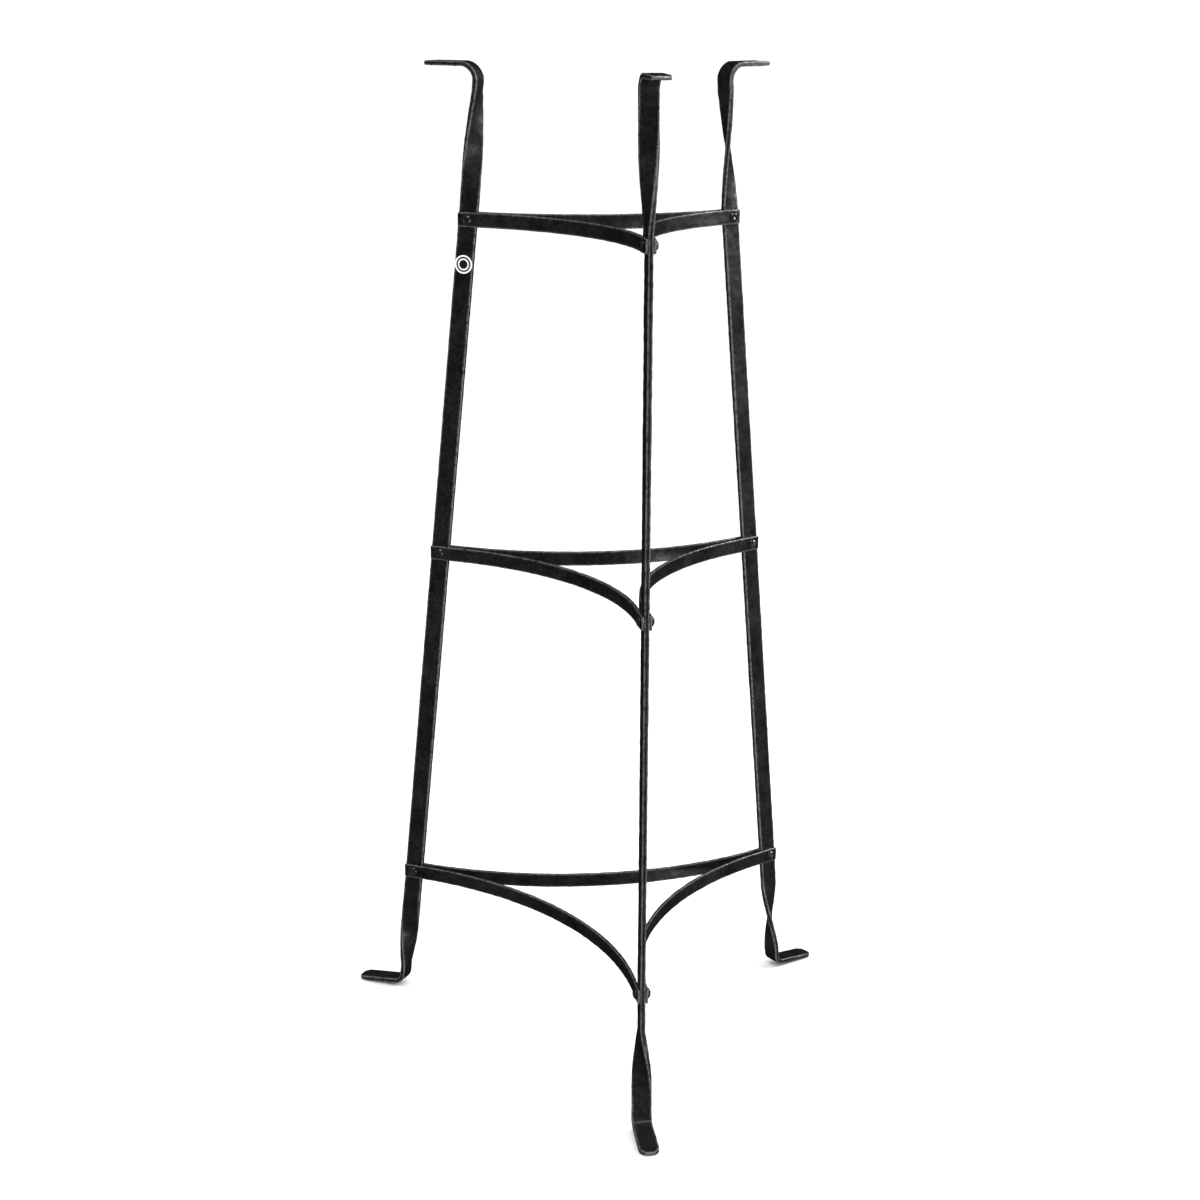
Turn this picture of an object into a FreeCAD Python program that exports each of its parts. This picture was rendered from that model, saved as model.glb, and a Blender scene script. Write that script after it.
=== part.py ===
import FreeCAD, Part
import math
import os

from FreeCAD import Placement, Rotation, Vector

# Three-tier tripod stand for pots: three twisted flat-bar legs, nine curved flat-bar
# braces, and a bolt with a barrel nut at each of the nine joints.
# Millimetres, +Z up. The origin is on the floor, at the middle of the box around the feet.
# The stand's own axis is axis_shift behind it, and the front leg stands on the -Y side.
# The functions build round the stand's axis, and write() moves each piece by axis_shift.

# Bar stock
leg_width = 20.0
leg_thickness = 5.0
brace_width = 15.0
brace_thickness = 3.0

# Heights, each measured from the one before it
bottom_tier_height = 141.0   # floor to the bottom bolts
lower_bay = 369.5            # bottom bolts to middle bolts
upper_bay = 353.5            # middle bolts to top bolts
finger_rise = 157.0          # top bolts to the upper faces of the fingers

# Distances from the stand's axis
bottom_bolt_radius = 231.0
top_bolt_radius = 158.0
foot_reach = 299.0           # tip of a foot
finger_reach = 202.0         # tip of a finger

# The top tier is turned this many degrees about the axis against the bottom tier
tier_turn = 2.8

# Leg ends
finger_bend_radius = 16.0    # on the middle of the bar
foot_bend_radius = 9.0       # on the middle of the bar
finger_twist_gap = 9.0       # straight bar between the upper twist and its bend
foot_twist_gap = 13.0        # straight bar between the lower twist and its bend
foot_twist_start = 38.0      # bottom bolt to the start of the lower twist
finger_twist_start = 10.0    # top bolt to the start of the upper twist
foot_droop = 5.0             # degrees by which a foot falls towards its tip, where it rests
riser_lean_less = 1.2        # degrees less lean above the upper twist's start
twist_angle = 90.0
twist_easing = 0.1           # 0 is an even twist, 1 starts and stops gently
twist_sections = 13
finger_corner = 3.0          # corners of a finger's tip, seen from above
foot_corner = 9.0            # corners of a foot's tip, seen from above
least_tip_edge = 2.0         # straight edge left between the two corners of a tip

# Braces: straight run from the bolt to where the bend starts, for each tier
bend_start_bottom = 11.0
bend_start_middle = 22.0
bend_start_top = 14.0
brace_corner = 2.0           # corners of a brace's ends
paint_gap = 0.15             # paint and slack between a brace and a leg

# Bolts and barrel nuts
barrel_diameter = 8.0
barrel_clearance = 0.4       # hole diameter less barrel diameter
barrel_end_gap = 1.0         # barrel's end to the bolt head's seat
shank_diameter = 6.0
thread_clearance = 0.1       # barrel's bore less shank diameter
shank_end_gap = 1.3          # shank's end to the nut head's seat
head_diameter = 11.0
head_height = 3.6
head_rim = 0.8               # straight rim under the dome
socket_flats = 4.0
socket_depth = 1.8

# Badge: a plain disc on the left leg
badge_diameter = 19.0
badge_thickness = 0.8
badge_rim = 1.2
badge_recess = 0.3
badge_drop = 46.0            # below the top bolt, along the leg

leg_angles = {"front": 0.0, "right": 120.0, "left": -120.0}
brace_angles = {"front_right": 60.0, "front_left": -60.0, "rear": 180.0}
half_bay_angle = 60.0        # from a brace's middle to the leg at each end

middle_tier_height = bottom_tier_height + lower_bay
top_tier_height = middle_tier_height + upper_bay
overall_height = top_tier_height + finger_rise
lean = math.atan2(bottom_bolt_radius - top_bolt_radius, lower_bay + upper_bay)

# Corners of the tips, no larger than the bar's width leaves room for.
widest_tip_corner = (leg_width - least_tip_edge) / 2
finger_tip_corner = min(finger_corner, widest_tip_corner)
foot_tip_corner = min(foot_corner, widest_tip_corner)

# How far the two rear feet reach behind the stand's axis, on their rounded corners
rear_angle = math.radians(half_bay_angle)
rear_reach = (
    (foot_reach - foot_tip_corner) * math.cos(rear_angle)
    + (leg_width / 2 - foot_tip_corner) * math.sin(rear_angle)
    + foot_tip_corner
)
axis_shift = (foot_reach - rear_reach) / 2

UP = Vector(0, 0, 1)
ACROSS = Vector(1, 0, 0)     # the front leg's tangential direction
OUTWARD = Vector(0, -1, 0)   # the front leg's outward direction


def turned(vector, angle, axis=UP):
    """The vector turned by an angle in degrees about an axis."""
    return Rotation(axis, angle).multVec(vector)


def leaning(angle):
    """Direction going up and leaning inward by an angle, on the front leg's side."""
    return UP * math.cos(angle) - OUTWARD * math.sin(angle)


def bar_section(centre, axis, wide):
    """Rectangle of leg bar about a centre, with its width along the vector wide."""
    thin = axis.cross(wide)
    half_wide = wide * (leg_width / 2)
    half_thin = thin * (leg_thickness / 2)
    corners = [
        centre + half_wide + half_thin,
        centre - half_wide + half_thin,
        centre - half_wide - half_thin,
        centre + half_wide - half_thin,
    ]
    return Part.makePolygon(corners + corners[:1])


def end_section(start, axis, along, twist):
    """Leg section at a distance along an axis from a point, twisted by some degrees."""
    wide = turned(axis.cross(ACROSS), twist, axis)
    return bar_section(start + axis * along, axis, wide)


def eased(share):
    """Share of the twist reached at a share of its length."""
    return share - twist_easing * math.sin(2 * math.pi * share) / (2 * math.pi)


def twisted_bar(first_section, start, axis, length):
    """Bar from a section at a point, along an axis, turning by the twist angle."""
    sections = [first_section]
    for step in range(1, twist_sections):
        share = step / (twist_sections - 1)
        sections.append(end_section(start, axis, length * share, twist_angle * eased(share)))
    return Part.makeLoft(sections, True, False)


def bent_end(bend_point, axis_in, axis_out, bend_radius, reach, run_in, corner):
    """Flat end of a leg: a straight run, a bend at bend_point and a straight tongue.

    The bar comes to the bend along axis_in and leaves it along axis_out. The tongue's
    tip is at the distance reach from the stand's axis, rounded to half the thickness.
    """
    bend_angle = axis_in.getAngle(axis_out)
    tangent = bend_radius * math.tan(bend_angle / 2)
    side = axis_out - axis_in * axis_in.dot(axis_out)
    side.normalize()
    lift = axis_in - axis_out * axis_in.dot(axis_out)
    lift.normalize()
    bend_in = bend_point - axis_in * tangent
    bend_out = bend_point + axis_out * tangent
    bend_centre = bend_in + side * bend_radius
    bisector = bend_point - bend_centre
    bisector.normalize()
    half = leg_thickness / 2
    start = bend_in - axis_in * run_in
    tip_distance = (reach - half - bend_point.dot(OUTWARD)) / axis_out.dot(OUTWARD)
    tip_centre = bend_point + axis_out * tip_distance
    far = bend_radius + half
    near = bend_radius - half
    edges = [
        Part.LineSegment(start - side * half, bend_in - side * half),
        Part.Arc(bend_in - side * half, bend_centre + bisector * far, bend_out + lift * half),
        Part.LineSegment(bend_out + lift * half, tip_centre + lift * half),
        Part.Arc(tip_centre + lift * half, tip_centre + axis_out * half, tip_centre - lift * half),
        Part.LineSegment(tip_centre - lift * half, bend_out - lift * half),
        Part.Arc(bend_out - lift * half, bend_centre + bisector * near, bend_in + side * half),
        Part.LineSegment(bend_in + side * half, start + side * half),
        Part.LineSegment(start + side * half, start - side * half),
    ]
    profile = Part.Face(Part.Wire([edge.toShape() for edge in edges]))
    profile.translate(ACROSS * (-leg_width / 2))
    tongue = profile.extrude(ACROSS * leg_width)
    return tongue.common(rounded_plan(reach, corner))


def rounded_plan(reach, corner):
    """Tall block whose outer end, at the reach, has rounded vertical corners."""
    block = Part.makeBox(leg_width, reach, overall_height * 2)
    block.translate(Vector(-leg_width / 2, -reach, -overall_height / 2))
    outer = [edge for edge in block.Edges if is_outer_corner(edge, reach)]
    return block.makeFillet(corner, outer)


def is_outer_corner(edge, reach):
    """Whether an edge is vertical and lies at the block's outer end."""
    ends = [vertex.Point for vertex in edge.Vertexes]
    vertical = (ends[1] - ends[0]).cross(UP).Length < 1e-6
    return vertical and ends[0].dot(OUTWARD) > reach / 2


def finger_end():
    """Upper end of the front leg, before the tier's turn: twist, bend and finger."""
    leg_axis = leaning(lean)
    axis = leaning(lean - math.radians(riser_lean_less))
    start = OUTWARD * top_bolt_radius + UP * top_tier_height + leg_axis * finger_twist_start
    bend_distance = (overall_height - leg_thickness / 2 - start.z) / axis.z
    bend_point = start + axis * bend_distance
    tangent = finger_bend_radius * math.tan(axis.getAngle(OUTWARD) / 2)
    twist_length = bend_distance - tangent - finger_twist_gap
    twist = twisted_bar(end_section(start, leg_axis, 0, 0), start, axis, twist_length)
    finger = bent_end(
        bend_point, axis, OUTWARD, finger_bend_radius, finger_reach, finger_twist_gap,
        finger_tip_corner,
    )
    return [twist, finger]


def foot_bend_height(fall):
    """Height at which a leg's middle line meets the foot's, which falls to its tip."""
    half = leg_thickness / 2
    leg_radius_at_floor = bottom_bolt_radius + bottom_tier_height * math.tan(lean)
    level_length = foot_reach - half - leg_radius_at_floor
    return (half + level_length * fall) / (1 - math.tan(lean) * fall)


def foot_end():
    """Lower end of the front leg: twist, bend and foot."""
    axis = leaning(lean)
    droop = math.radians(foot_droop)
    toe = OUTWARD * math.cos(droop) - UP * math.sin(droop)
    start = OUTWARD * bottom_bolt_radius + UP * bottom_tier_height - axis * foot_twist_start
    bend_distance = (start.z - foot_bend_height(math.tan(droop))) / axis.z
    bend_point = start - axis * bend_distance
    tangent = foot_bend_radius * math.tan((-axis).getAngle(toe) / 2)
    twist_length = bend_distance - tangent - foot_twist_gap
    twist = twisted_bar(end_section(start, axis, 0, 0), start, axis, -twist_length)
    foot = bent_end(
        bend_point, -axis, toe, foot_bend_radius, foot_reach, foot_twist_gap, foot_tip_corner
    )
    return [twist, foot]


def shank():
    """Flat bar from the lower twist, past the three tiers, to the upper twist."""
    axis = leaning(lean)
    low = OUTWARD * bottom_bolt_radius + UP * bottom_tier_height
    high = OUTWARD * top_bolt_radius + UP * top_tier_height
    lower = [end_section(low, axis, along, 0) for along in (-foot_twist_start, 0)]
    upper = [end_section(high, axis, along, 0) for along in (0, finger_twist_start)]
    for wire in upper:
        wire.rotate(Vector(), UP, tier_turn)
    return Part.makeLoft(lower + upper, True, True)


def tier_seat(height):
    """Radius and turn, in degrees, of the front leg's middle line at a tier."""
    low = OUTWARD * bottom_bolt_radius + UP * bottom_tier_height
    high = turned(OUTWARD * top_bolt_radius, tier_turn) + UP * top_tier_height
    share = (height - bottom_tier_height) / (top_tier_height - bottom_tier_height)
    point = low + (high - low) * share
    radius = math.hypot(point.x, point.y)
    return radius, math.degrees(math.atan2(point.x, -point.y))


def seat_place(height, angle):
    """Placement of a joint: its X is across the leg, its Y inward, its origin the bolt."""
    radius, turn = tier_seat(height)
    rotation = Rotation(UP, angle + turn)
    return Placement(rotation.multVec(OUTWARD * radius) + UP * height, rotation)


def placed(shape, placement):
    """Copy of a shape at a placement."""
    copy = shape.copy()
    copy.Placement = placement.multiply(copy.Placement)
    return copy


def joint_hole(height, angle):
    """Cutter for the bolt hole of a joint, right across the leg and both braces."""
    length = (leg_thickness + 2 * brace_thickness) * 2
    radius = (barrel_diameter + barrel_clearance) / 2
    hole = Part.makeCylinder(radius, length, ACROSS * (-length / 2), ACROSS)
    return placed(hole, seat_place(height, angle))


def make_leg(angle):
    """One leg at its angle about the stand's axis."""
    upper = finger_end()
    for shape in upper:
        shape.rotate(Vector(), UP, tier_turn)
    leg = shank().multiFuse(upper + foot_end()).removeSplitter()
    leg = leg.cut([joint_hole(height, 0.0) for height in tiers.values()])
    leg.rotate(Vector(), UP, angle)
    return leg.Solids[0]


def brace_curve(middle_offset, tangent_length, line_offset):
    """Points of one face of a brace, seen from above, with its middle on the -Y side.

    The two end runs are parallel to the legs' radial planes. line_offset is their
    distance from those planes, and middle_offset moves the face off the bar's middle.
    """
    half_turn = math.radians(90.0 - half_bay_angle)
    half_bay = math.radians(half_bay_angle)
    bend_radius = tangent_length / math.tan(half_turn)
    corner = line_offset / math.sin(half_bay)
    bend_centre = OUTWARD * (corner + bend_radius / math.cos(half_turn))
    face_radius = bend_radius + middle_offset
    to_bend = turned(-OUTWARD, math.degrees(half_turn)) * face_radius
    middle = bend_centre - OUTWARD * face_radius
    return bend_centre + to_bend, middle, bend_centre + mirrored(to_bend)


def mirrored(vector):
    """The vector mirrored in the plane X = 0."""
    return Vector(-vector.x, vector.y, vector.z)


def make_brace(height, bend_start, angle):
    """One brace at a tier, between two legs, centred on an angle about the axis."""
    radius, turn = tier_seat(height)
    line_offset = leg_thickness / 2 + paint_gap + brace_thickness / 2
    half_bay = math.radians(half_bay_angle)
    tangent_length = radius - bend_start - line_offset / math.tan(half_bay)
    run = bend_start + leg_width / 2
    half = brace_thickness / 2
    inner = brace_curve(half, tangent_length, line_offset)
    outer = brace_curve(-half, tangent_length, line_offset)
    run_out = turned(OUTWARD, -half_bay_angle) * run
    edges = [
        Part.LineSegment(inner[0] + run_out, inner[0]),
        Part.Arc(*inner),
        Part.LineSegment(inner[2], inner[2] + mirrored(run_out)),
        Part.LineSegment(inner[2] + mirrored(run_out), outer[2] + mirrored(run_out)),
        Part.LineSegment(outer[2] + mirrored(run_out), outer[2]),
        Part.Arc(*reversed(outer)),
        Part.LineSegment(outer[0], outer[0] + run_out),
        Part.LineSegment(outer[0] + run_out, inner[0] + run_out),
    ]
    outline = Part.Face(Part.Wire([edge.toShape() for edge in edges]))
    bar = outline.extrude(UP * brace_width)
    bar.translate(UP * (-brace_width / 2))
    bar = bar.makeFillet(brace_corner, end_corners(bar))
    bar.Placement = Placement(UP * height, Rotation(UP, angle + turn)).multiply(bar.Placement)
    ends = (angle - half_bay_angle, angle + half_bay_angle)
    return bar.cut([joint_hole(height, end) for end in ends]).Solids[0]


def end_corners(bar):
    """The four short edges across the thickness at the ends of a brace bar."""
    corners = []
    for edge in bar.Edges:
        ends = [vertex.Point for vertex in edge.Vertexes]
        level = abs(ends[0].z - ends[-1].z) < 1e-6
        if level and abs(edge.Length - brace_thickness) < 1e-6:
            corners.append(edge)
    return corners


def dome_head():
    """Domed socket head whose seat is at X = 0 and whose dome rises towards +X."""
    radius = head_diameter / 2
    dome = head_height - head_rim
    sphere = (radius * radius + dome * dome) / (2 * dome)
    halfway = math.asin(radius / sphere) / 2
    on_dome = Vector(
        head_height - sphere + sphere * math.cos(halfway), sphere * math.sin(halfway), 0
    )
    rim = Vector(head_rim, radius, 0)
    top = Vector(head_height, 0, 0)
    edges = [
        Part.LineSegment(Vector(0, 0, 0), Vector(0, radius, 0)),
        Part.LineSegment(Vector(0, radius, 0), rim),
        Part.Arc(rim, on_dome, top),
        Part.LineSegment(top, Vector(0, 0, 0)),
    ]
    profile = Part.Face(Part.Wire([edge.toShape() for edge in edges]))
    head = profile.revolve(Vector(), ACROSS, 360)
    return head.cut(hex_socket())


def hex_socket():
    """Cutter for the hexagonal key socket in the top of a head."""
    corner_radius = socket_flats / 2 / math.cos(math.radians(30))
    floor = head_height - socket_depth
    points = []
    for step in range(7):
        spoke = turned(Vector(0, corner_radius, 0), step * 60.0, ACROSS)
        points.append(spoke + ACROSS * floor)
    return Part.Face(Part.makePolygon(points)).extrude(ACROSS * head_height)


def make_bolt():
    """Bolt with its head's seat on the +X side of the joint and its shank going -X."""
    seat = leg_thickness / 2 + paint_gap + brace_thickness
    length = 2 * seat - shank_end_gap
    start = ACROSS * (seat - length)
    shank_rod = Part.makeCylinder(shank_diameter / 2, length, start, ACROSS)
    head = dome_head()
    head.translate(ACROSS * seat)
    return head.fuse(shank_rod).removeSplitter()


def make_barrel_nut():
    """Barrel nut with its head on the -X side of the joint and its barrel going +X."""
    seat = leg_thickness / 2 + paint_gap + brace_thickness
    length = 2 * seat - barrel_end_gap
    start = ACROSS * (-seat)
    barrel = Part.makeCylinder(barrel_diameter / 2, length, start, ACROSS)
    head = dome_head()
    head.rotate(Vector(), UP, 180)
    head.translate(start)
    bore = Part.makeCylinder((shank_diameter + thread_clearance) / 2, length, start, ACROSS)
    return head.fuse(barrel).removeSplitter().cut(bore)


def make_badge():
    """Plain round badge with a raised rim, on the left leg's face towards the front leg."""
    disc = Part.makeCylinder(badge_diameter / 2, badge_thickness, Vector(), ACROSS)
    recess = Part.makeCylinder(
        badge_diameter / 2 - badge_rim,
        badge_thickness,
        ACROSS * (badge_thickness - badge_recess),
        ACROSS,
    )
    badge = disc.cut(recess)
    badge.translate(ACROSS * (leg_thickness / 2 + paint_gap))
    height = top_tier_height - badge_drop * math.cos(lean)
    return placed(badge, seat_place(height, leg_angles["left"]))


def write(name, shape):
    """Write one named piece, moved from the stand's axis, as a STEP file."""
    shape.translate(UP.cross(ACROSS) * axis_shift)
    shape.exportStep("parts/" + name + ".step")


tiers = {
    "bottom": bottom_tier_height,
    "middle": middle_tier_height,
    "top": top_tier_height,
}
bend_starts = {
    "bottom": bend_start_bottom,
    "middle": bend_start_middle,
    "top": bend_start_top,
}

os.makedirs("parts", exist_ok=True)
for side, leg_angle in leg_angles.items():
    write("leg_" + side, make_leg(leg_angle))
    for tier, tier_height in tiers.items():
        joint = seat_place(tier_height, leg_angle)
        write("bolt_" + tier + "_" + side, placed(make_bolt(), joint))
        write("barrel_nut_" + tier + "_" + side, placed(make_barrel_nut(), joint))
for side, brace_angle in brace_angles.items():
    for tier, tier_height in tiers.items():
        brace = make_brace(tier_height, bend_starts[tier], brace_angle)
        write("brace_" + tier + "_" + side, brace)
write("badge", make_badge())
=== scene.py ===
import math

import bmesh
import bpy
from mathutils import Matrix, Vector, geometry, noise


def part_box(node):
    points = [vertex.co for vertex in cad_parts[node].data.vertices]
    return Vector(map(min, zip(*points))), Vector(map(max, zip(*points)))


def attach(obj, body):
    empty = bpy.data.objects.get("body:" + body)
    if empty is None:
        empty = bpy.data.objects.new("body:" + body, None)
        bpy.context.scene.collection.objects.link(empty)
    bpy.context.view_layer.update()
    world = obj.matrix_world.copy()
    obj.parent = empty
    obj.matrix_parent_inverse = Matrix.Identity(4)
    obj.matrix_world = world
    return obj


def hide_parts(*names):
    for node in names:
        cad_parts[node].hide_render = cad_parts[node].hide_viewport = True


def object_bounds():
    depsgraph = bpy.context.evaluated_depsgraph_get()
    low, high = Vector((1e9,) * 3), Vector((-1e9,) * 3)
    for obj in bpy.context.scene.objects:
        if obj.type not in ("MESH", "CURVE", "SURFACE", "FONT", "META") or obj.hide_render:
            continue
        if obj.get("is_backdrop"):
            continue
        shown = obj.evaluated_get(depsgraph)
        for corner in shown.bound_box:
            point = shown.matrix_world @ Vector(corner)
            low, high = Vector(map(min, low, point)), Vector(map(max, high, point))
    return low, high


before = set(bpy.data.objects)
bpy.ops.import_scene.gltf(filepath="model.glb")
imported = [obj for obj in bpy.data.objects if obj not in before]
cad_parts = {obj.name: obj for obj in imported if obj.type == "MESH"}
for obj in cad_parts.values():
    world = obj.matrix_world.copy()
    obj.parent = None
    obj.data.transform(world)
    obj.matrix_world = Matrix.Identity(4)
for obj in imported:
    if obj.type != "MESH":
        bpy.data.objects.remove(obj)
cad_low, cad_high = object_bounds()

# ---------------------------------------------------------------------------------
# Legs: three lengths of 20 x 5 hot-rolled flat bar, hammered all over and enamelled black.
# Each is twisted a quarter turn above the top joint and again below the bottom joint, and
# bent outward into a finger and a foot. Three tiers of bolted joints hold the legs upright.
# ---------------------------------------------------------------------------------
MM = 0.001
UP = Vector((0, 0, 1))
ACROSS = Vector((1, 0, 0))
OUTWARD = Vector((0, -1, 0))
LEG_ANGLES = {"front": 0.0, "right": 120.0, "left": -120.0}
TIERS = ("bottom", "middle", "top")


def box_middle(node):
    """Middle of a CAD piece's box."""
    low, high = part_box(node)
    return (low + high) / 2


def turn_about_z(degrees):
    """Turn about the vertical through the origin."""
    return Matrix.Rotation(math.radians(degrees), 4, "Z")


# The legs stand round one vertical axis, so a leg is worked out for the front leg's side
# (-Y) and then turned about that axis, and so is all that is fixed to it.
bottom_bolts = [box_middle("bolt_bottom_" + side) for side in LEG_ANGLES]
stand_axis = Matrix.Translation((0, sum(bolt.y for bolt in bottom_bolts) / 3, 0))
tier_height = {tier: box_middle("bolt_" + tier + "_front").z for tier in TIERS}
tier_radius = {}
tier_turn = {}
for tier in TIERS:
    hardware = [box_middle(kind + tier + "_front") for kind in ("bolt_", "barrel_nut_")]
    joint = stand_axis.inverted() @ ((hardware[0] + hardware[1]) / 2)
    tier_radius[tier] = math.hypot(joint.x, joint.y)
    tier_turn[tier] = math.degrees(math.atan2(joint.x, -joint.y))


def hand_over(name, mesh_data, node, material):
    """Object made from a bmesh, with its material, standing for a CAD piece."""
    mesh = bpy.data.meshes.new(name)
    mesh_data.to_mesh(mesh)
    mesh_data.free()
    mesh.shade_smooth()
    mesh.materials.append(material)
    piece = bpy.data.objects.new(name, mesh)
    bpy.context.collection.objects.link(piece)
    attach(piece, "root")
    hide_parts(node)
    return piece


# The bar is hammered while it is straight, which leaves shallow overlapping dents and soft
# corners. It is cut, dented and rounded first and bent afterwards, the way a smith works.
leg_width = 20 * MM
leg_thickness = 5 * MM
bar_step = 1.4 * MM
dent_size = 9 * MM
dent_reach = 0.75
dent_depth = 0.3 * MM
proud = 0.2 * MM
tip_guard = (4 * MM, 10 * MM)
edge_share = 0.5
swell_size = 40 * MM
swell_depth = 0.12 * MM
dent_shift = (7.3, 3.1, 5.7)
swell_shift = (2.9, 0, 4.1)
highlight_reach = 1.25
corner_segments = 4
corner_on_side = 1 / 9
narrow_side_cuts = 2
end_rings = 10


def straight_bar(width, thickness, corner, stations):
    """Straight bar along +Z with a ring of vertices at each whole number of metres.

    Its thickness lies along X and its width along Y. The rings go to their real
    distances later, when the bar is bent.
    """
    bar = bmesh.new()
    bmesh.ops.create_circle(bar, segments=4, radius=math.sqrt(0.5))
    bmesh.ops.rotate(bar, verts=bar.verts, matrix=Matrix.Rotation(math.radians(45), 3, "Z"))
    bmesh.ops.scale(bar, verts=bar.verts, vec=(thickness, width, 1))
    bmesh.ops.bevel(
        bar, geom=bar.verts[:], offset=corner, offset_type="OFFSET", segments=corner_segments,
        profile=0.5, affect="VERTICES", material=-1,
    )
    broad_sides = [edge for edge in bar.edges if edge.calc_length() > width / 2]
    cuts = round(width / bar_step)
    bmesh.ops.subdivide_edges(bar, edges=broad_sides, cuts=cuts)
    outside = width / 2 - corner * corner_on_side
    narrow_sides = [edge for edge in bar.edges if min(abs(v.co.y) for v in edge.verts) > outside]
    bmesh.ops.subdivide_edges(bar, edges=narrow_sides, cuts=narrow_side_cuts)
    drawn = bmesh.ops.extrude_edge_only(bar, edges=bar.edges[:])["geom"]
    top = [item for item in drawn if isinstance(item, bmesh.types.BMVert)]
    bmesh.ops.translate(bar, verts=top, vec=(0, 0, stations - 1))
    along = [edge for edge in bar.edges if edge.calc_length() > 0.5]
    bmesh.ops.subdivide_edges(bar, edges=along, cuts=stations - 2, use_grid_fill=True)
    bmesh.ops.holes_fill(bar, edges=[edge for edge in bar.edges if edge.is_boundary], sides=0)
    bmesh.ops.recalc_face_normals(bar, faces=bar.faces)
    return bar


def dent(place, from_end, seed):
    """Depth of the hammer dents at a place on a straight bar.

    The bar stands a little proud between the dents, but not at its tips.
    """
    spot = place / dent_size + Vector([seed * shift for shift in dent_shift])
    nearest = noise.voronoi(spot)[0][0]
    bowl = max(0.0, 1.0 - (nearest / dent_reach) ** 2)
    swell_spot = place / swell_size + Vector([seed * shift for shift in swell_shift])
    swell = noise.noise(swell_spot)
    guard = (tip_guard[1] - from_end) / (tip_guard[1] - tip_guard[0])
    guard = min(1.0, max(0.0, guard))
    held_in = guard * (proud + swell_depth)
    return dent_depth * bowl + swell_depth * swell - proud + held_in


def rounded_off(distance, radius):
    """How far an outline rounded to a radius is drawn in, at a distance from its end."""
    left = max(0.0, radius - distance)
    return radius - math.sqrt(radius * radius - left * left)


def narrowed(value, half, new_half, corner):
    """A place across a bar whose half size shrinks, with its corner kept as it is."""
    flat_part = half - corner
    new_flat = max(0.0, new_half - corner)
    outer = max(0.0, abs(value) - flat_part) * min(1.0, new_half / corner)
    return math.copysign(min(abs(value), flat_part) * new_flat / flat_part + outer, value)


def ring_distances(length, end_radius):
    """Distances of a bar's rings: closer together at its rounded ends."""
    quarter = math.pi / 2
    end = [end_radius * (1 - math.cos(quarter * k / end_rings)) for k in range(end_rings)]
    run = length - 2 * end_radius
    count = round(run / bar_step)
    middle = [end_radius + run * k / count for k in range(count + 1)]
    return end + middle + [length - distance for distance in reversed(end)]


def bent_line(start, ahead, aside, stretches, distance):
    """Point and heading at a distance along the middle line of a bar bent in a plane.

    Each stretch is its length and the angle by which the bar turns towards aside.
    """
    point = start
    slope = 0.0
    for length, turn in stretches:
        gone = min(distance, length)
        turned = turn * gone / length if length else turn
        chord = gone * math.sin(turned / 2) / (turned / 2) if turned else gone
        along = slope + turned / 2
        point = point + (ahead * math.cos(along) + aside * math.sin(along)) * chord
        slope += turned
        distance -= gone
        if distance <= 0:
            break
    return point, ahead * math.cos(slope) + aside * math.sin(slope)


def ring_place(point, heading, wide):
    """Placement of a bar's ring: X across the thickness and Y along the width."""
    place = Matrix((wide.cross(heading), wide, heading)).transposed().to_4x4()
    place.translation = point
    return place


def forge(width, thickness, corner, tip_corners, length, place_at, seed):
    """A hammered bar, bent so that the ring at each distance stands where place_at says.

    corner is the softness of the bar's long corners. tip_corners are the radii of the
    corners of its two ends, seen on the broad face. The mask for the painted highlight
    along the corners is 1 on a corner and fades to 0 beside it.
    """
    distances = ring_distances(length, max(tip_corners))
    bar = straight_bar(width, thickness, corner, len(distances))
    corner_highlight = bar.verts.layers.float.new("corner_highlight")
    places = [place_at(distance) for distance in distances]
    half_width = width / 2
    half_thickness = thickness / 2
    for vert in bar.verts:
        ring = round(vert.co.z)
        distance = distances[ring]
        thin, wide = vert.co.x, vert.co.y
        from_ends = (distance, length - distance)
        drawn_in = sum(rounded_off(*end) for end in zip(from_ends, tip_corners))
        thinned = sum(rounded_off(end, half_thickness) for end in from_ends)
        depth = dent(Vector((thin, wide, distance)), min(from_ends), seed)
        depths = (half_thickness - abs(thin), half_width - abs(wide), min(from_ends))
        # Mask for the painted highlight: 1 on a long corner, fading to 0 beside it.
        vert[corner_highlight] = max(0.0, 1.0 - sum(sorted(depths)[:2]) / (highlight_reach * corner))
        new_width = max(0.0, half_width - drawn_in - depth * edge_share)
        new_thickness = max(0.0, half_thickness - thinned - depth)
        wide = narrowed(wide, half_width, new_width, corner)
        thin = narrowed(thin, half_thickness, new_thickness, corner)
        vert.co = places[ring] @ Vector((thin, wide, 0))
    bmesh.ops.recalc_face_normals(bar, faces=bar.faces)
    return bar


# The enamel is near black, satin and slightly uneven, baked on. Along the corners a
# highlight is painted in: patches of pale, smoother metal that brighten the lines there.
enamel_dark = (0.004, 0.004, 0.0044)
enamel_pale = (0.013, 0.013, 0.0138)
highlight_colour = (0.42, 0.42, 0.425, 1)
highlight_roughness = (0.26, 0.26, 0.26, 1)


def shader(name):
    """New material's node tree pieces: the material, its nodes, links and shader."""
    material = bpy.data.materials.new(name)
    material.use_nodes = True
    tree = material.node_tree
    return material, tree.nodes, tree.links, tree.nodes["Principled BSDF"]


def noise_at(nodes, links, source, scale, detail, roughness):
    """Noise texture on a coordinate socket."""
    texture = nodes.new("ShaderNodeTexNoise")
    texture.inputs["Scale"].default_value = scale
    texture.inputs["Detail"].default_value = detail
    texture.inputs["Roughness"].default_value = roughness
    links.new(source, texture.inputs["Vector"])
    return texture.outputs["Fac"]


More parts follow.
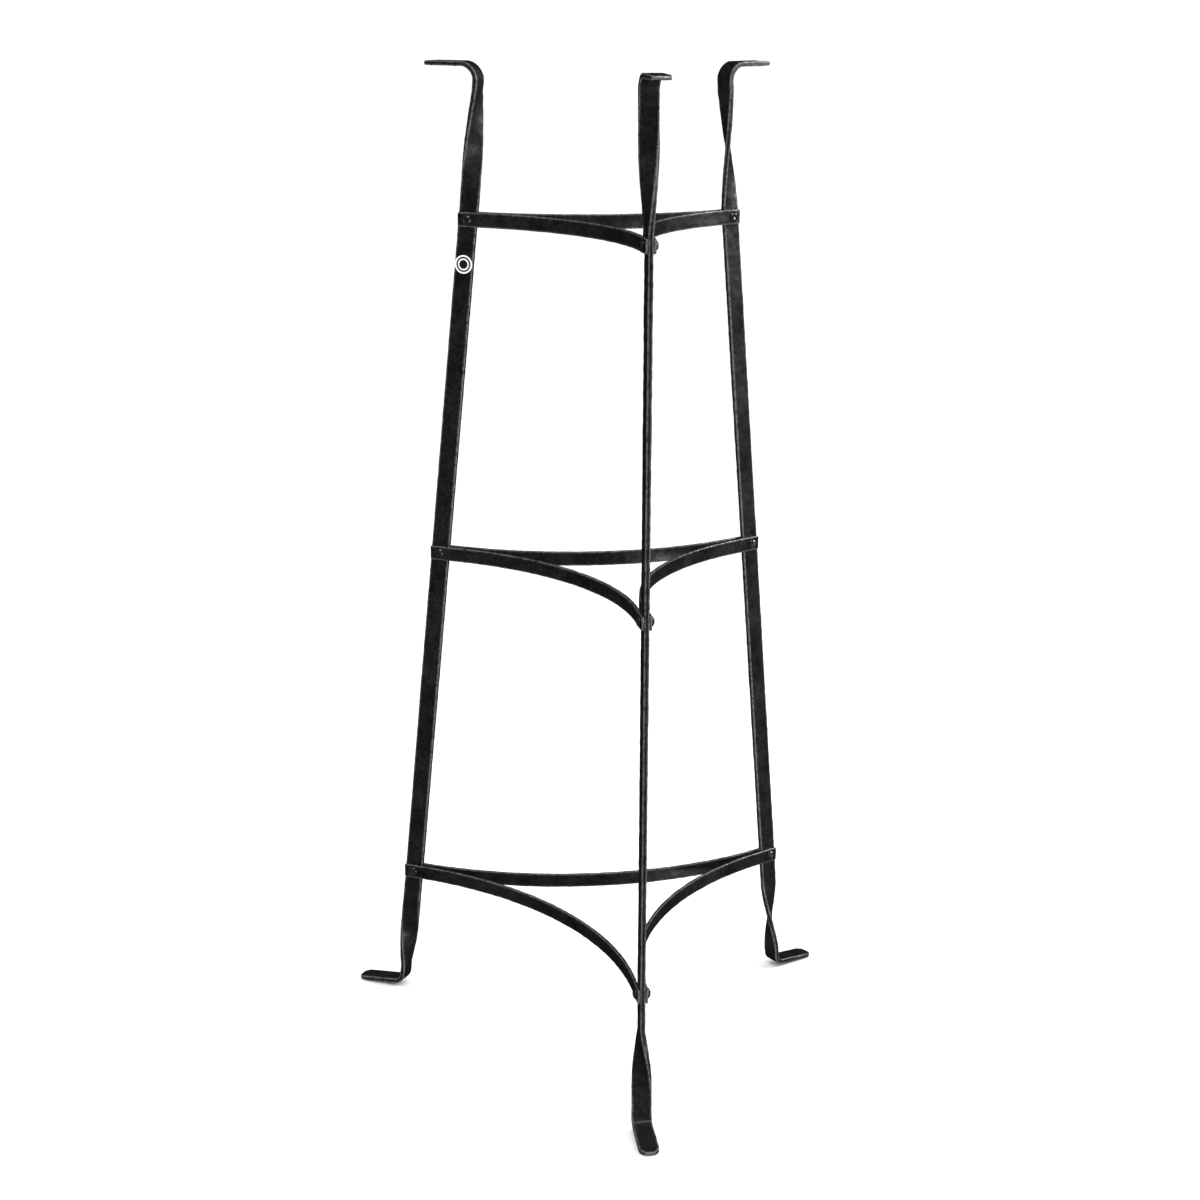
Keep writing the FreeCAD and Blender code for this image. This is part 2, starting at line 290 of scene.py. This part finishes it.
def ramp(nodes, links, source, stops):
    """Colour ramp with the given (position, grey or colour) stops."""
    node = nodes.new("ShaderNodeValToRGB")
    while len(node.color_ramp.elements) < len(stops):
        node.color_ramp.elements.new(0.5)
    for element, (position, colour) in zip(node.color_ramp.elements, stops):
        element.position = position
        shade = colour if isinstance(colour, tuple) else (colour,) * 3
        element.color = (*shade, 1)
    links.new(source, node.inputs["Fac"])
    return node.outputs["Color"]


def blend_colours(nodes, links, factor, first, second, mode="MIX"):
    """Mix of two colour sockets or colours by a factor socket or number."""
    node = nodes.new("ShaderNodeMix")
    node.data_type = "RGBA"
    node.blend_type = mode
    sockets = {"Factor": node.inputs[0], "A": node.inputs[6], "B": node.inputs[7]}
    for key, value in (("Factor", factor), ("A", first), ("B", second)):
        if isinstance(value, bpy.types.NodeSocket):
            links.new(value, sockets[key])
        else:
            sockets[key].default_value = value
    return node.outputs[2]


def hammered_enamel():
    """Satin black enamel on a hammered bar."""
    material, nodes, links, surface = shader("hammered_black_enamel")
    coordinates = nodes.new("ShaderNodeTexCoord").outputs["Object"]
    corner_highlight = nodes.new("ShaderNodeAttribute")
    corner_highlight.attribute_name = "corner_highlight"
    broad = noise_at(nodes, links, coordinates, scale=38, detail=3, roughness=0.55)
    fine = noise_at(nodes, links, coordinates, scale=260, detail=4, roughness=0.6)
    grain = noise_at(nodes, links, coordinates, scale=1500, detail=2, roughness=0.5)
    enamel = ramp(nodes, links, broad, ((0.3, enamel_dark), (0.7, enamel_pale)))
    speck = ramp(nodes, links, fine, ((0.35, 0.55), (0.65, 1.35)))
    coloured = blend_colours(nodes, links, 1.0, enamel, speck, "MULTIPLY")
    # Painted highlight along the corners: the corner mask, broken up by noise, turns the enamel
    # into pale, smoother metal there so the corners show as bright lines.
    highlight_breakup = ramp(nodes, links, fine, ((0.38, 0.2), (0.6, 1.0)))
    painted_highlight = blend_colours(nodes, links, 1.0, corner_highlight.outputs["Color"], highlight_breakup, "MULTIPLY")
    colour = blend_colours(nodes, links, painted_highlight, coloured, highlight_colour)
    links.new(colour, surface.inputs["Base Color"])
    links.new(painted_highlight, surface.inputs["Metallic"])
    satin = ramp(nodes, links, broad, ((0.3, 0.32), (0.72, 0.46)))
    roughness = blend_colours(nodes, links, painted_highlight, satin, highlight_roughness)
    links.new(roughness, surface.inputs["Roughness"])
    surface.inputs["Specular IOR Level"].default_value = 0.5
    surface.inputs["Coat Weight"].default_value = 0.25
    surface.inputs["Coat Roughness"].default_value = 0.22
    bump_fine = nodes.new("ShaderNodeBump")
    bump_fine.inputs["Strength"].default_value = 0.35
    bump_fine.inputs["Distance"].default_value = 0.0004
    links.new(fine, bump_fine.inputs["Height"])
    bump_grain = nodes.new("ShaderNodeBump")
    bump_grain.inputs["Strength"].default_value = 0.12
    bump_grain.inputs["Distance"].default_value = 0.0001
    links.new(grain, bump_grain.inputs["Height"])
    links.new(bump_fine.outputs["Normal"], bump_grain.inputs["Normal"])
    links.new(bump_grain.outputs["Normal"], surface.inputs["Normal"])
    return material


enamel_finish = hammered_enamel()

# A foot falls a little to its tip. Above the upper twist's start the leg stands a little
# straighter than it does between the joints.
leg_corner = 1 * MM
finger_bend_radius = 16 * MM
foot_bend_radius = 9 * MM
finger_twist_start = 10 * MM
finger_twist_gap = 9 * MM
foot_twist_start = 38 * MM
foot_twist_gap = 13 * MM
finger_corner = 3 * MM
foot_corner = 9 * MM
finger_reach = 202 * MM
foot_reach = -(stand_axis.inverted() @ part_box("leg_front")[0]).y
foot_droop = math.radians(5)
riser_lean_less = math.radians(1.2)
twist_easing = 0.1


def leaning(angle):
    """Direction going up and leaning inward by an angle."""
    return UP * math.cos(angle) - OUTWARD * math.sin(angle)


def crossing(first, first_heading, second, second_heading):
    """Where two lines in one plane cross."""
    ends = (first, first + first_heading, second, second + second_heading)
    return geometry.intersect_line_line(*ends)[0]


low_bolt = OUTWARD * tier_radius["bottom"] + UP * tier_height["bottom"]
high_bolt = OUTWARD * tier_radius["top"] + UP * tier_height["top"]
lean = math.atan2(low_bolt.dot(OUTWARD) - high_bolt.dot(OUTWARD), high_bolt.z - low_bolt.z)
knee = high_bolt + leaning(lean) * finger_twist_start
riser = leaning(lean - riser_lean_less)
half_leg = leg_thickness / 2
toe = OUTWARD * math.cos(foot_droop) - UP * math.sin(foot_droop)
toe_end = OUTWARD * (foot_reach - half_leg) + UP * half_leg + toe * half_leg
finger_end = OUTWARD * finger_reach + UP * (cad_high.z - half_leg)
foot_bend = crossing(low_bolt, leaning(lean), toe_end, toe)
finger_bend = crossing(knee, riser, finger_end, OUTWARD)
foot_angle = leaning(lean).angle(-toe)
finger_angle = riser.angle(OUTWARD)
foot_tangent = foot_bend_radius * math.tan(foot_angle / 2)
finger_tangent = finger_bend_radius * math.tan(finger_angle / 2)
leg_stretches = [
    ((toe_end - foot_bend).length - foot_tangent, 0.0),
    (foot_bend_radius * foot_angle, foot_angle),
    ((knee - foot_bend).length - foot_tangent, 0.0),
    (0.0, riser_lean_less),
    ((finger_bend - knee).length - finger_tangent, 0.0),
    (finger_bend_radius * finger_angle, finger_angle),
    ((finger_end - finger_bend).length - finger_tangent, 0.0),
]
leg_length = sum(length for length, turn in leg_stretches)
rise_start = leg_stretches[0][0] + leg_stretches[1][0]
knee_at = rise_start + leg_stretches[2][0]
riser_end = knee_at + leg_stretches[4][0]
high_bolt_at = knee_at - finger_twist_start
low_bolt_at = high_bolt_at - (high_bolt - low_bolt).length


def twist_share(distance, start, end):
    """Share of a quarter twist reached at a distance between its start and end."""
    share = min(1.0, max(0.0, (distance - start) / (end - start)))
    return share - twist_easing * math.sin(2 * math.pi * share) / (2 * math.pi)


def leg_place(distance):
    """Placement of the front leg's ring at a distance from the tip of the foot."""
    point, heading = bent_line(toe_end, -toe, toe.cross(ACROSS), leg_stretches, distance)
    lower = twist_share(distance, low_bolt_at - foot_twist_start, rise_start + foot_twist_gap)
    upper = twist_share(distance, knee_at, riser_end - finger_twist_gap)
    quarter_turn = Matrix.Rotation((lower + upper) * math.pi / 2, 3, heading)
    wide = quarter_turn @ heading.cross(ACROSS)
    share = (distance - low_bolt_at) / (high_bolt_at - low_bolt_at)
    share = min(1.0, max(0.0, share))
    top_turn = turn_about_z(tier_turn["top"]).to_3x3()
    turn = turn_about_z(tier_turn["top"] * share).to_3x3()
    if share < 1.0:
        shift = top_turn @ high_bolt - high_bolt
        return ring_place(point + shift * share, turn @ heading, turn @ wide)
    return ring_place(top_turn @ point, turn @ heading, turn @ wide)


for number, (side, angle) in enumerate(LEG_ANGLES.items()):
    corners = (foot_corner, finger_corner)
    leg = forge(leg_width, leg_thickness, leg_corner, corners, leg_length, leg_place, number)
    # No raised spot on a finger or foot stands beyond the stand's real height.
    for vert in leg.verts:
        vert.co.z = min(max(vert.co.z, cad_low.z), cad_high.z)
    bmesh.ops.transform(leg, matrix=stand_axis @ turn_about_z(angle), verts=leg.verts)
    hand_over("forged_leg_" + side, leg, "leg_" + side, enamel_finish)

# ---------------------------------------------------------------------------------
# Braces: nine lengths of 15 x 3 bar on edge, three to a tier. Each end lies flat on a
# leg's side, and one even bend between them bows the bar towards the stand's axis.
# ---------------------------------------------------------------------------------
BRACE_ANGLES = {"front_right": 60.0, "front_left": -60.0, "rear": 180.0}
HALF_BAY_DEGREES = 60.0
brace_width = 15 * MM
brace_thickness = 3 * MM
paint_gap = 0.15 * MM
bend_start = {"bottom": 11 * MM, "middle": 22 * MM, "top": 14 * MM}
brace_corner = 0.8 * MM
brace_tip_corner = 2 * MM
first_brace_seed = 10
half_bay = math.radians(HALF_BAY_DEGREES)
brace_turn = math.pi - 2 * half_bay
line_offset = leg_thickness / 2 + paint_gap + brace_thickness / 2


def brace_line(tier):
    """Start, heading, bending side and stretches of a tier's brace on the -Y side."""
    run = bend_start[tier] + leg_width / 2
    tangent = tier_radius[tier] - bend_start[tier] - line_offset / math.tan(half_bay)
    arc = tangent / math.tan(brace_turn / 2) * brace_turn
    ahead = turn_about_z(-HALF_BAY_DEGREES).to_3x3() @ -OUTWARD
    aside = turn_about_z(-90).to_3x3() @ ahead
    start = OUTWARD * (line_offset / math.sin(half_bay)) - ahead * (tangent + run)
    return start, ahead, aside, [(run, 0.0), (arc, brace_turn), (run, 0.0)]


for tier_number, tier in enumerate(TIERS):
    for side_number, (side, angle) in enumerate(BRACE_ANGLES.items()):
        start, ahead, aside, stretches = brace_line(tier)
        brace = forge(
            brace_width, brace_thickness, brace_corner, (brace_tip_corner, brace_tip_corner),
            sum(length for length, turn in stretches),
            lambda distance: ring_place(*bent_line(start, ahead, aside, stretches, distance), UP),
            first_brace_seed + len(BRACE_ANGLES) * tier_number + side_number,
        )
        lift = Matrix.Translation(UP * tier_height[tier])
        place = stand_axis @ turn_about_z(angle + tier_turn[tier]) @ lift
        bmesh.ops.transform(brace, matrix=place, verts=brace.verts)
        name = tier + "_" + side
        hand_over("forged_brace_" + name, brace, "brace_" + name, enamel_finish)

# ---------------------------------------------------------------------------------
# Bolts and barrel nuts: turned and plated black, with low domed heads and hexagonal key
# sockets. The nut's barrel passes through the joint and takes the bolt's shank.
# ---------------------------------------------------------------------------------
head_radius = 5.5 * MM
head_height = 3.6 * MM
head_rim = 0.8 * MM
rim_softness = 0.35 * MM
socket_flats = 4 * MM
socket_depth = 1.8 * MM
socket_chamfer = 0.35 * MM
socket_mouth_run = socket_chamfer * 0.3
socket_mouth_drop = socket_chamfer * 0.6
socket_floor_chamfer = socket_chamfer * 0.4
barrel_radius = 4 * MM
barrel_end_gap = 1 * MM
shank_radius = 3 * MM
shank_end_gap = 1.3 * MM
bore_radius = 3.05 * MM
head_sides = 48
dome_rings = 8
rounding = 0.3
head_seat = leg_thickness / 2 + paint_gap + brace_thickness


def next_ring(turned_piece, edges, radius, height, hexagonal=False):
    """Extrudes an open ring of edges and sets the new ring's radius and height."""
    made = bmesh.ops.extrude_edge_only(turned_piece, edges=edges)["geom"]
    for vert in (item for item in made if isinstance(item, bmesh.types.BMVert)):
        around = math.atan2(vert.co.y, vert.co.x)
        reach = radius
        if hexagonal:
            sixth = math.radians(60)
            reach = radius / math.cos(around % sixth - sixth / 2)
        vert.co = Vector((reach * math.cos(around), reach * math.sin(around), height))
    return [item for item in made if isinstance(item, bmesh.types.BMEdge)]


def socket_head(stem_radius, stem_length, bore):
    """Domed socket head on its stem, with the seat at Z = 0 and the stem going down."""
    metal = bmesh.new()
    dome = head_height - head_rim
    sphere = (head_radius**2 + dome**2) / (2 * dome)
    bmesh.ops.create_circle(metal, segments=head_sides, radius=head_radius - rim_softness)
    first = metal.edges[:]
    edges = first
    for radius, height in (
        (head_radius - rounding * rim_softness, rounding * rim_softness),
        (head_radius, rim_softness),
        (head_radius, head_rim),
    ):
        edges = next_ring(metal, edges, radius, height)
    widest = math.asin(head_radius / sphere)
    mouth = socket_flats / 2 / math.cos(math.radians(30)) + socket_chamfer
    narrowest = math.asin(mouth / sphere)
    for step in range(1, dome_rings + 1):
        slope = widest + (narrowest - widest) * step / dome_rings
        height = head_height - sphere + sphere * math.cos(slope)
        edges = next_ring(metal, edges, sphere * math.sin(slope), height)
    brim = head_height - sphere + sphere * math.cos(narrowest)
    for flats, height in (
        (socket_flats / 2 + socket_mouth_run, brim - socket_mouth_drop),
        (socket_flats / 2, brim - socket_chamfer),
        (socket_flats / 2, head_height - socket_depth + socket_floor_chamfer),
        (socket_flats / 2 - socket_floor_chamfer, head_height - socket_depth),
    ):
        edges = next_ring(metal, edges, flats, height, hexagonal=True)
    bmesh.ops.edgeloop_fill(metal, edges=edges)
    stem = next_ring(metal, first, stem_radius, 0)
    stem = next_ring(metal, stem, stem_radius, -stem_length + rim_softness)
    stem = next_ring(metal, stem, stem_radius - rim_softness, -stem_length)
    if bore:
        stem = next_ring(metal, stem, bore_radius, -stem_length)
        stem = next_ring(metal, stem, bore_radius, 0)
    bmesh.ops.edgeloop_fill(metal, edges=stem)
    bmesh.ops.recalc_face_normals(metal, faces=metal.faces)
    return metal


plating_dark = (0.05, 0.05, 0.051)
plating_pale = (0.13, 0.13, 0.133)


def plated_hardware():
    """Black plated steel, semi-gloss and faintly uneven."""
    material, nodes, links, surface = shader("black_plated_steel")
    coordinates = nodes.new("ShaderNodeTexCoord").outputs["Object"]
    broad = noise_at(nodes, links, coordinates, scale=220, detail=3, roughness=0.5)
    fine = noise_at(nodes, links, coordinates, scale=1400, detail=3, roughness=0.6)
    colour = ramp(nodes, links, broad, ((0.3, plating_dark), (0.7, plating_pale)))
    links.new(colour, surface.inputs["Base Color"])
    links.new(ramp(nodes, links, fine, ((0.3, 0.14), (0.7, 0.26))), surface.inputs["Roughness"])
    surface.inputs["Metallic"].default_value = 0.85
    surface.inputs["Coat Weight"].default_value = 0.5
    surface.inputs["Coat Roughness"].default_value = 0.12
    bump = nodes.new("ShaderNodeBump")
    bump.inputs["Strength"].default_value = 0.15
    bump.inputs["Distance"].default_value = 0.0002
    links.new(fine, bump.inputs["Height"])
    links.new(bump.outputs["Normal"], surface.inputs["Normal"])
    return material


plating = plated_hardware()
bolt_stem = 2 * head_seat - shank_end_gap
nut_stem = 2 * head_seat - barrel_end_gap
for side, angle in LEG_ANGLES.items():
    for tier in TIERS:
        spot = OUTWARD * tier_radius[tier] + UP * tier_height[tier]
        joint = stand_axis @ turn_about_z(angle + tier_turn[tier]) @ Matrix.Translation(spot)
        for kind, facing, stem_radius, stem_length, bore in (
            ("bolt", 90, shank_radius, bolt_stem, False),
            ("barrel_nut", -90, barrel_radius, nut_stem, True),
        ):
            metal = socket_head(stem_radius, stem_length, bore)
            swing = Matrix.Rotation(math.radians(facing), 4, "Y")
            place = joint @ swing @ Matrix.Translation(UP * head_seat)
            bmesh.ops.transform(metal, matrix=place, verts=metal.verts)
            name = kind + "_" + tier + "_" + side
            hand_over("turned_" + name, metal, name, plating)

# ---------------------------------------------------------------------------------
# Badge: a small pressed disc with a raised rim, enamelled pale with a plain dark middle
# and dark ring, glued to the left leg under the top joint. It carries no mark.
# ---------------------------------------------------------------------------------
badge_radius = 9.5 * MM
badge_thickness = 0.8 * MM
badge_rim = 1.2 * MM
badge_recess = 0.3 * MM
badge_softness = 0.2 * MM
badge_sides = 64
badge_crown = ((0.6, 0.3), (0.3, 0.5))
badge_rings = ((0.46, 0.01), (0.5, 0.85), (0.62, 0.85), (0.66, 0.01), (0.8, 0.01), (0.84, 0.9))


def pressed_badge():
    """Badge disc with its back at Z = 0, rolled rim and sunken, slightly crowned middle."""
    disc = bmesh.new()
    bmesh.ops.create_circle(disc, segments=badge_sides, radius=badge_radius - badge_softness)
    back = disc.edges[:]
    rim = back
    sunk = badge_thickness - badge_recess
    inner = badge_radius - badge_rim
    for radius, height in (
        (badge_radius, badge_softness),
        (badge_radius, badge_thickness - badge_softness),
        (badge_radius - badge_softness * rounding, badge_thickness - badge_softness * rounding),
        (badge_radius - badge_softness, badge_thickness),
        (inner + badge_softness, badge_thickness),
        (inner, badge_thickness - badge_softness),
        (inner - badge_softness, sunk),
        *((inner * share, sunk + badge_softness * rise) for share, rise in badge_crown),
    ):
        rim = next_ring(disc, rim, radius, height)
    bmesh.ops.edgeloop_fill(disc, edges=rim)
    bmesh.ops.edgeloop_fill(disc, edges=back)
    bmesh.ops.recalc_face_normals(disc, faces=disc.faces)
    return disc


def badge_enamel():
    """Glossy enamel, pale and dark by the distance from the badge's middle."""
    material, nodes, links, surface = shader("badge_enamel")
    reach = nodes.new("ShaderNodeAttribute")
    reach.attribute_name = "reach"
    coordinates = nodes.new("ShaderNodeTexCoord").outputs["Object"]
    rings = ramp(nodes, links, reach.outputs["Fac"], badge_rings)
    mottling = noise_at(nodes, links, coordinates, scale=600, detail=3, roughness=0.6)
    mottle = ramp(nodes, links, mottling, ((0.3, 0.9), (0.7, 1.0)))
    colour = blend_colours(nodes, links, 1.0, rings, mottle, "MULTIPLY")
    links.new(colour, surface.inputs["Base Color"])
    scuffs = noise_at(nodes, links, coordinates, scale=1800, detail=2, roughness=0.5)
    links.new(ramp(nodes, links, scuffs, ((0.35, 0.16), (0.65, 0.3))), surface.inputs["Roughness"])
    surface.inputs["Coat Weight"].default_value = 0.6
    surface.inputs["Coat Roughness"].default_value = 0.08
    return material


badge = pressed_badge()
reach = badge.verts.layers.float.new("reach")
for vert in badge.verts:
    vert[reach] = math.hypot(vert.co.x, vert.co.y) / badge_radius
low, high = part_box("badge")
badge_middle = stand_axis.inverted() @ ((low + high) / 2)
badge_share = (badge_middle.z - low_bolt.z) / (high_bolt.z - low_bolt.z)
badge_seat = low_bolt.lerp(turn_about_z(tier_turn["top"]) @ high_bolt, badge_share)
badge_turn = math.degrees(math.atan2(badge_seat.x, -badge_seat.y))
badge_place = (
    stand_axis @ turn_about_z(LEG_ANGLES["left"] + badge_turn)
    @ Matrix.Translation(OUTWARD * math.hypot(badge_seat.x, badge_seat.y) + UP * badge_seat.z)
    @ Matrix.Rotation(math.radians(90), 4, "Y")
    @ Matrix.Translation(UP * (leg_thickness / 2 + paint_gap))
)
bmesh.ops.transform(badge, matrix=badge_place, verts=badge.verts)
hand_over("enamel_badge", badge, "badge", badge_enamel())

# ---------------------------------------------------------------------------------
# Studio: a wide pale floor, even light from all round that is dim in reflections, and
# three softboxes that draw the bright lines along the bars' corners.
# ---------------------------------------------------------------------------------
floor_half = 60.0
floor_mesh = bmesh.new()
bmesh.ops.create_grid(floor_mesh, x_segments=2, y_segments=2, size=floor_half)
floor_data = bpy.data.meshes.new("studio_floor")
floor_mesh.to_mesh(floor_data)
floor_mesh.free()
floor = bpy.data.objects.new("studio_floor", floor_data)
bpy.context.collection.objects.link(floor)
floor_material, nodes, links, surface = shader("pale_floor")
surface.inputs["Base Color"].default_value = (0.93, 0.93, 0.93, 1)
surface.inputs["Roughness"].default_value = 0.9
surface.inputs["Specular IOR Level"].default_value = 0
floor_data.materials.append(floor_material)
floor.visible_glossy = False
floor.visible_shadow = False
floor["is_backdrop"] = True

room_light = 1.2
room_in_gloss = 0.015
world = bpy.data.worlds.new("studio")
bpy.context.scene.world = world
bpy.context.scene.view_settings.view_transform = "Standard"
world.use_nodes = True
room = world.node_tree
rays = room.nodes.new("ShaderNodeLightPath")
strength = room.nodes.new("ShaderNodeMapRange")
strength.inputs["To Min"].default_value = room_light
strength.inputs["To Max"].default_value = room_in_gloss
room.links.new(rays.outputs["Is Glossy Ray"], strength.inputs["Value"])
room.nodes["Background"].inputs["Color"].default_value = (1, 1, 1, 1)
room.links.new(strength.outputs["Result"], room.nodes["Background"].inputs["Strength"])


def softbox(name, place, aim, width, height, glow):
    """Rectangular area light at a place, aimed at a point, of a given brightness."""
    light = bpy.data.lights.new(name, "AREA")
    light.shape = "RECTANGLE"
    light.size = width
    light.size_y = height
    light.energy = glow * math.pi * width * height
    lamp = bpy.data.objects.new(name, light)
    bpy.context.collection.objects.link(lamp)
    lamp.location = place
    lamp.rotation_mode = "QUATERNION"
    lamp.rotation_quaternion = (aim - place).to_track_quat("-Z", "Y")
    lamp.visible_camera = False


softbox(
    "side_light", place=Vector((1.95, -2.2, -0.2)), aim=Vector((0, 0, 0.2)),
    width=0.35, height=1.6, glow=8,
)
softbox(
    "right_light", place=Vector((1.9, 0.1, 1.5)), aim=Vector((0, 0, 1.0)),
    width=0.3, height=0.9, glow=34,
)
softbox(
    "high_light", place=Vector((0.1, -1.4, 3.0)), aim=Vector((0, 0, 0.7)),
    width=1.2, height=0.5, glow=9,
)

# ---------------------------------------------------------------------------------
# Camera: in front and a little to the left, just above the height of the stand's top,
# looking down at its middle.
# ---------------------------------------------------------------------------------
camera_azimuth = math.radians(-8.582)
camera_distance = 2.3214
camera_height = 1.1219
camera_yaw = math.radians(-0.285)
camera_pitch = math.radians(15.497)
camera_roll = math.radians(0.618)
lens_width = 36.0
focal_length = 69.55

camera_data = bpy.data.cameras.new("camera")
camera_data.sensor_width = lens_width
camera_data.lens = focal_length
camera = bpy.data.objects.new("camera", camera_data)
bpy.context.collection.objects.link(camera)
bpy.context.scene.camera = camera
back = Matrix.Rotation(camera_azimuth, 3, "Z") @ OUTWARD
level = Matrix.Rotation(-camera_yaw, 3, "Z") @ -back
right = level.cross(UP)
view_line = level * math.cos(camera_pitch) - UP * math.sin(camera_pitch)
top_side = right.cross(view_line)
rolled_right = right * math.cos(camera_roll) + top_side * math.sin(camera_roll)
rolled_top = top_side * math.cos(camera_roll) - right * math.sin(camera_roll)
spot = stand_axis @ (back * camera_distance + UP * camera_height)
camera.matrix_world = Matrix((
    (*rolled_right, 0), (*rolled_top, 0), (*(-view_line), 0), (*spot, 1)
)).transposed()

low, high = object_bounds()
